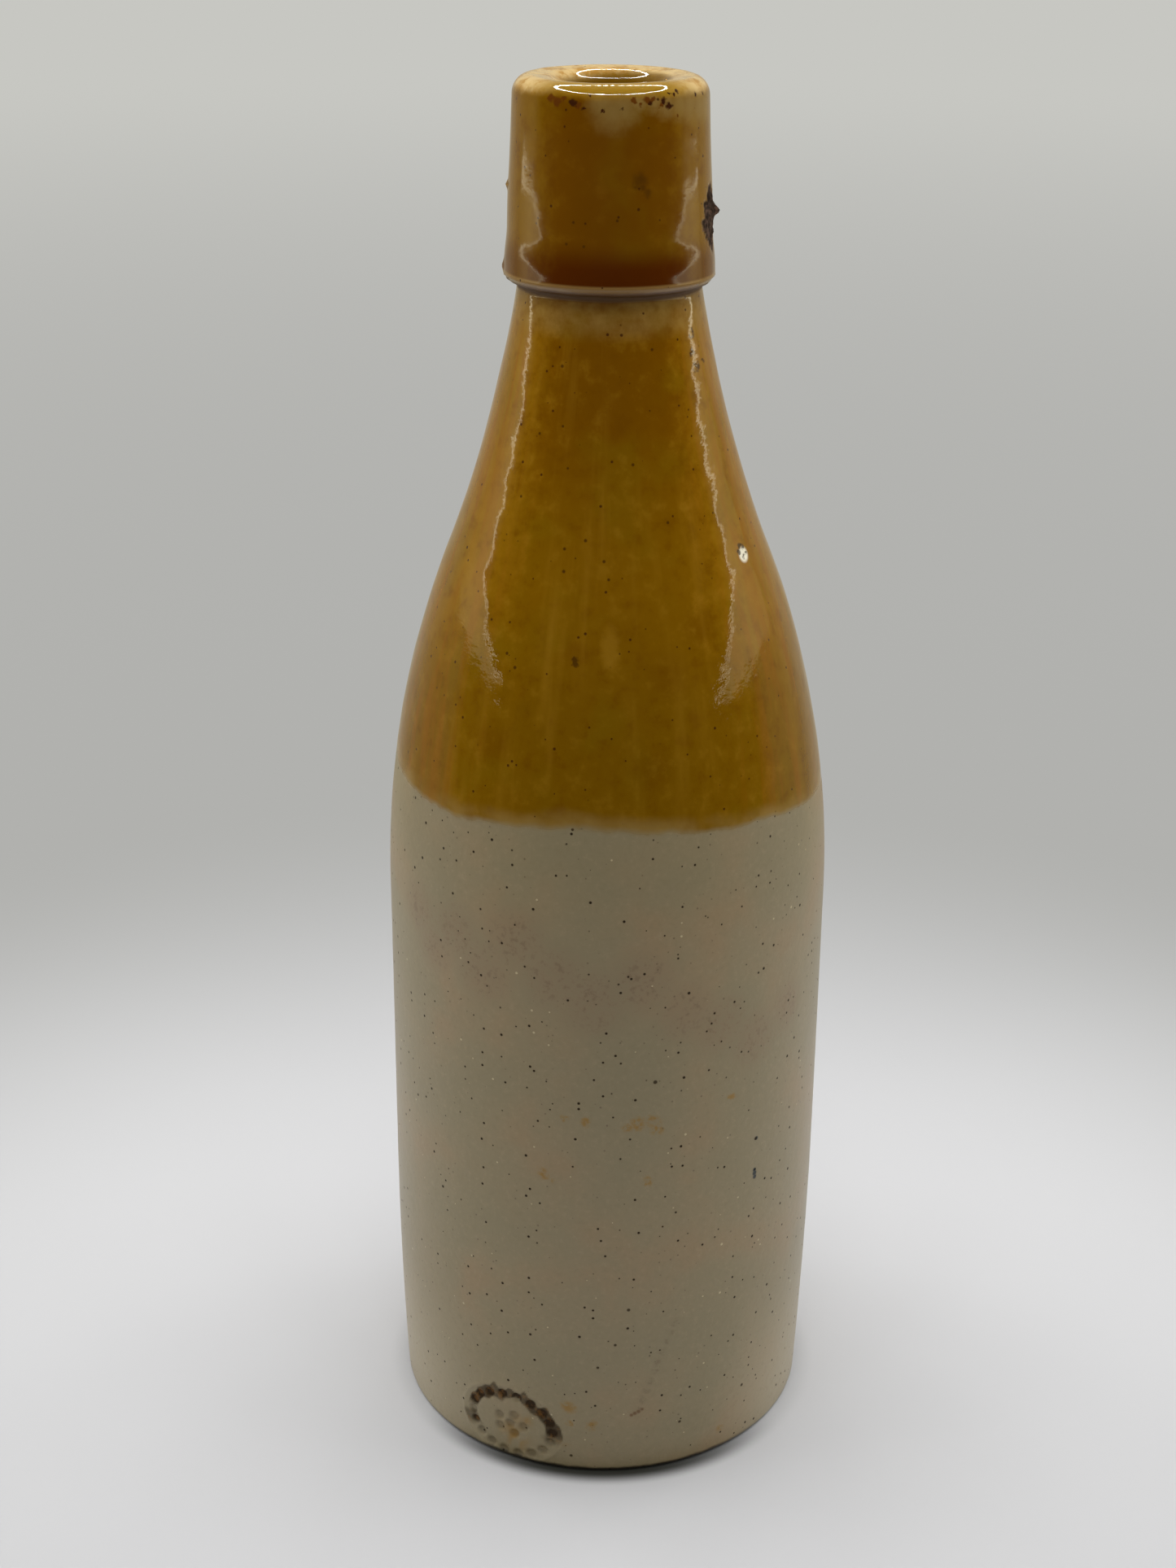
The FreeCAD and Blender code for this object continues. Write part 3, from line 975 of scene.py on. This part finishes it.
def height_above_line(g, point, height, around):
    """How far above the wavy glaze line each place is."""
    wobble = g.sway(g.noise(point, 7.0, 4.0), 2.6)
    tilt = g.times(g.parts(around)[0], GLAZE_LINE_TILT)
    bow = g.times(g.math("ADD", g.parts(around)[1], 1.0), -GLAZE_LINE_BOW)
    towards_dip = g.measure("DOT_PRODUCT", around, dip_direction)
    dip = g.step(towards_dip, GLAZE_DIP_EDGE, 1.0, 0.0, -GLAZE_DIP)
    line = g.math("ADD", g.math("ADD", g.math("ADD", tilt, bow), dip), GLAZE_LINE)
    return g.math("SUBTRACT", g.math("ADD", height, wobble), line)


def stoneware():
    """Glossy ochre glaze above the glaze line and a satin clear glaze over speckled cream clay below."""
    g = Graph(bpy.data.materials.new("glazed_stoneware"))
    point = g.point()
    height = g.parts(point)[2]
    around = g.vector("NORMALIZE", g.vector("MULTIPLY", point, (1, 1, 0)))
    above = height_above_line(g, point, height, around)
    glazed = g.step(above, *GLAZE_CHANGE)
    dots = g.spots(point, IRON_DOTS)
    specks = g.specks(point, 1.8, 0.12, 0.28, 0.9)
    clay = clay_colour(g, point, height, around, specks)
    colour = g.mix(glazed, clay, ochre_colour(g, point, height, above, around))
    colour = g.mix(g.times(dots, 0.85), colour, g.mix(glazed, IRON, IRON_SOFT))
    dull = g.math("MAXIMUM", g.attribute("scar"), g.attribute("stain"))
    dull = g.math("MAXIMUM", dull, g.times(g.between(height, *DULL_BAND), 0.8))
    dull = g.math("MAXIMUM", dull, g.blend(glazed, g.math("MAXIMUM", specks, dots), 0.0))
    gloss = g.math("ADD", g.times(g.between(height, *SOFT_BAND), LIP_BLUR), GLAZE_BLUR)
    rough = g.blend(dull, g.blend(glazed, CLAY_BLUR, gloss), DULL_BLUR)
    grain = g.times(g.noise(point, 1.4, 3.0, 0.6), g.step(height, *GRAIN_CHANGE, 0.034, 0.014))
    bump_height = g.math("ADD", grain, g.times(g.noise(point, 6.0, 2.0), 0.05))
    bump = g.add("ShaderNodeBump", {"Strength": 1.0, "Distance": MM, "Height": bump_height})
    inputs = {"Base Color": colour, "Roughness": rough, "Normal": bump.outputs[0]}
    inputs["Specular IOR Level"] = g.blend(dull, SHINE, DULL_SHINE)
    return g.finish(g.add("ShaderNodeBsdfPrincipled", inputs).outputs[0])


# Studio: floor, lamps, and the things that only the glaze's reflections show

def area_lamp(name, place, target, width, depth, radiance):
    """A soft rectangular lamp of even radiance, aimed at a point, that neither the camera nor gloss shows."""
    data = bpy.data.lights.new(name, "AREA")
    data.shape = "RECTANGLE"
    data.size = width * MM
    data.size_y = depth * MM
    data.energy = radiance * math.pi * width * depth * MM * MM
    lamp = add_object(name, data)
    place, target = Vector(place) * MM, Vector(target) * MM
    turn = (target - place).to_track_quat("-Z", "Y").to_matrix().to_4x4()
    lamp.matrix_world = Matrix.Translation(place) @ turn
    lamp.visible_camera = False
    lamp.visible_glossy = False


# The ring of lamps overhead, and the small bright points that the glaze mirrors in its place
RING_RADIUS = 131.0
RING_HEIGHT = 378.0
RING_LAMPS = 12
RING_LAMP_SIZE = 34.0
RING_LAMP_GLOW = 11.5
RING_TARGET = (0, 0, 150)
DOTS_RADIUS = 120.0
RING_DOTS = 84
RING_DOT_WIDTH = 5.0
RING_DOT_DEPTH = 8.0
RING_DOT_GLOW = 90.0

# Soft lamps, as name, place, target, width, depth and radiance
SOFT_LAMPS = (
    ("left_side", (-200, 30, 160), (0, 0, 100), 240, 300, 1.65),
    ("right_side", (200, 30, 160), (0, 0, 100), 240, 300, 1.65),
    ("top_soft", (0, 0, 1000), (0, 0, 0), 900, 900, 1.05),
    ("front_soft", (0, -900, 500), (0, 0, 90), 700, 700, 1.4),
)


def make_lamps():
    """A ring of lamps overhead and soft side, top and front light."""
    for index in range(RING_LAMPS):
        place = surface_point(360 * index / RING_LAMPS, RING_HEIGHT, RING_RADIUS) / MM
        size = (RING_LAMP_SIZE, RING_LAMP_SIZE)
        area_lamp(f"ring_lamp_{index}", place, RING_TARGET, *size, RING_LAMP_GLOW)
    for lamp in SOFT_LAMPS:
        area_lamp(*lamp)


def glow_material(name, strength, tint=(1.0, 1.0, 1.0, 1.0)):
    """A plain glow of one strength, or of two that change into each other along the bright strip."""
    g = Graph(bpy.data.materials.new(name))
    if isinstance(strength, tuple):
        along = g.parts(g.position())[1]
        strength = g.step(along, WALL_BRIGHT_END * MM, WALL_BACK * MM, *strength)
    return g.finish(g.add("ShaderNodeEmission", {"Color": tint, "Strength": strength}).outputs[0])


def add_glossy_only(name, verts, faces, materials):
    """An object that only glossy reflections show, and that isn't sampled as a lamp."""
    thing = add_mesh(name, verts, faces)
    for material in materials:
        material.cycles.emission_sampling = "NONE"
        thing.data.materials.append(material)
    thing.visible_camera = False
    thing.visible_diffuse = False
    thing.visible_shadow = False
    thing.visible_transmission = False
    return thing


def make_ring_dots():
    """The small bright points of the ring lamp."""
    verts, faces = [], []
    half = math.degrees(RING_DOT_WIDTH / 2 / DOTS_RADIUS)
    for index in range(RING_DOTS):
        azimuth = 360 * index / RING_DOTS
        for turn, reach in ((-half, -1), (half, -1), (half, 1), (-half, 1)):
            radius = DOTS_RADIUS + reach * RING_DOT_DEPTH / 2
            verts.append(tuple(surface_point(azimuth + turn, RING_HEIGHT, radius)))
        faces.append(tuple(range(len(verts) - 4, len(verts))))
    add_glossy_only("ring_dots", verts, faces, [glow_material("ring_glow", RING_DOT_GLOW)])


WALL_DISTANCE = 200.0
WALL_BACK = 95.0
WALL_BRIGHT_END = -5.0
WALL_SLANT = 10.0
WALL_FRONT = -114.0
WALL_FOOT = 148.0
WALL_TOP = 187.0
SEAM = 2.4
SEAM_BEND = 1.0
SEAM_SLANT = 3.0
SEAM_GLOW = 4.6
SEAM_TINT = (1.0, 0.92, 0.66, 1.0)
STRIP_TINT = (1.0, 0.86, 0.52, 1.0)

# The two bright strips, as side, name, height of the back corner, and the glow in front and at the back
STRIPS = ((-1, "left", 150.0, (1.05, 0.35)), (1, "right", 136.0, (1.1, 0.5)))


def make_bright_walls():
    """A low bright strip on both sides with a brighter seam along its top, which slants down to the front."""
    outer = [(WALL_BACK, WALL_TOP), (WALL_SLANT, WALL_TOP), (WALL_FRONT, WALL_FOOT)]
    seam_foot = (WALL_FRONT + SEAM_SLANT * SEAM, WALL_FOOT)
    inner = [(WALL_BACK, WALL_TOP - SEAM), (WALL_SLANT + SEAM_BEND, WALL_TOP - SEAM), seam_foot]
    for side, name, back_foot, strengths in STRIPS:
        outline = outer + inner + [(WALL_BACK, back_foot)]
        verts = [tuple(Vector((side * WALL_DISTANCE, y, z)) * MM) for y, z in outline]
        faces = [(0, 1, 4, 3), (1, 2, 5, 4), (3, 4, 5, 6)]
        seam = glow_material(f"{name}_seam", SEAM_GLOW, SEAM_TINT)
        strip = glow_material(f"{name}_strip", strengths, STRIP_TINT)
        wall = add_glossy_only(f"{name}_wall", verts, faces, [seam, strip])
        wall.data.polygons[2].material_index = 1


ROOM_RADIUS = 300.0
ROOM_HEIGHT = 700.0
ROOM_COLUMNS = 48
ROOM_ROWS = 16
ROOM_SIDE_GLOW = 0.2
ROOM_BACK_GLOW = 0.42
ROOM_TINT = (1.0, 0.92, 0.72, 1.0)

# Where the glow sets in and where it grows, as shares of the room's radius towards the back
ROOM_GLOW_START = (-0.12, 0.12)
ROOM_GLOW_GROWTH = (0.3, 1.0)


def room_material():
    """A dim warm glow, black on the camera's side and brighter towards the back."""
    g = Graph(bpy.data.materials.new("room_glow"))
    back = g.times(g.parts(g.position())[1], 1 / (ROOM_RADIUS * MM))
    beside = g.step(back, *ROOM_GLOW_START, 0.0, ROOM_SIDE_GLOW)
    behind = g.step(back, *ROOM_GLOW_GROWTH, 0.0, ROOM_BACK_GLOW - ROOM_SIDE_GLOW)
    glow = {"Color": ROOM_TINT, "Strength": g.math("ADD", beside, behind)}
    return g.finish(g.add("ShaderNodeEmission", glow).outputs[0])


def make_room():
    """A tall dome round the bottle, in which the glaze mirrors a dim room."""
    verts = []
    for row in range(ROOM_ROWS):
        tilt = math.pi / 2 * row / ROOM_ROWS
        for column in range(ROOM_COLUMNS):
            azimuth = 360 * column / ROOM_COLUMNS
            place = surface_point(azimuth, ROOM_HEIGHT * math.sin(tilt), ROOM_RADIUS * math.cos(tilt))
            verts.append(tuple(place))
    verts.append((0, 0, ROOM_HEIGHT * MM))
    faces = ring_faces(0, ROOM_ROWS, ROOM_COLUMNS)
    faces += fan_faces((ROOM_ROWS - 1) * ROOM_COLUMNS, ROOM_COLUMNS, len(verts) - 1)
    add_glossy_only("room", verts, faces, [room_material()])


# Light of the surround on the camera's side and behind, and the depth (-1 to 1) over which it changes
FRONT_LIGHT = 0.24
BACK_LIGHT = 0.95
LIGHT_CHANGE = (-0.6, 0.4)
BACKGROUND = srgb(199, 199, 194)


def make_world():
    """A soft surround that lights from behind more than from the camera's side, and is seen as pale grey."""
    world = bpy.data.worlds.new("surround")
    bpy.context.scene.world = world
    g = Graph(world)
    back = g.parts(g.add("ShaderNodeTexCoord").outputs["Generated"])[1]
    strength = g.step(back, *LIGHT_CHANGE, FRONT_LIGHT, BACK_LIGHT)
    light = g.add("ShaderNodeBackground", {"Color": (1.0, 1.0, 1.0, 1.0), "Strength": strength}).outputs[0]
    seen = g.add("ShaderNodeBackground", {"Color": BACKGROUND}).outputs[0]
    either = g.add("ShaderNodeMixShader", {0: g.shown(), 1: light, 2: seen}).outputs[0]
    g.finish(either, "ShaderNodeOutputWorld")


# The floor's colours, and at what distances from the bottle's axis they change. The contact shadow painted on
# the floor also grows with how far a place is in front, from 0 to 1.
FLOOR_RADIUS = 6000.0
FLOOR_CORNERS = 96
FLOOR_NEAR = srgb(177, 177, 174)
FLOOR_PAPER = srgb(183, 183, 184)
FLOOR_CONTACT = srgb(52, 52, 47)
FAR_CHANGE = (250.0, 2200.0)
PLAIN_CHANGE = (60.0, 260.0)
CONTACT_EDGE = (37.2, 34.0)
CONTACT_FRONT = (0.5, 1.0, 0.1, 1.0)


def make_floor():
    """A large plain pale floor, seen in its plain colour far from the bottle, and near it with the lamps'
    shadow and a painted contact shadow.
    """
    corners = range(FLOOR_CORNERS)
    ring = [tuple(surface_point(360 * index / FLOOR_CORNERS, 0, FLOOR_RADIUS)) for index in corners]
    floor = add_mesh("floor", ring, [tuple(corners)])
    g = Graph(bpy.data.materials.new("floor_paper"))
    point = g.point()
    distance = g.measure("LENGTH", point)
    far = g.mix(g.step(distance, *FAR_CHANGE), FLOOR_NEAR, BACKGROUND)
    forward = g.times(g.parts(g.vector("NORMALIZE", point))[1], -1.0)
    # Painted shadow: the floor darker right round the foot, most in front
    contact = g.times(g.step(distance, *CONTACT_EDGE), g.step(forward, *CONTACT_FRONT))
    paper = g.mix(contact, FLOOR_PAPER, FLOOR_CONTACT)
    near = g.add("ShaderNodeBsdfDiffuse", {"Color": paper}).outputs[0]
    plain = g.add("ShaderNodeEmission", {"Color": far}).outputs[0]
    seen = g.times(g.step(distance, *PLAIN_CHANGE), g.shown())
    material = g.finish(g.add("ShaderNodeMixShader", {0: seen, 1: near, 2: plain}).outputs[0])
    material.cycles.emission_sampling = "NONE"
    floor.data.materials.append(material)


make_camera()
make_world()
make_lamps()
make_ring_dots()
make_bright_walls()
make_room()
make_floor()
make_bottle()

bpy.context.scene.view_settings.view_transform = "Standard"
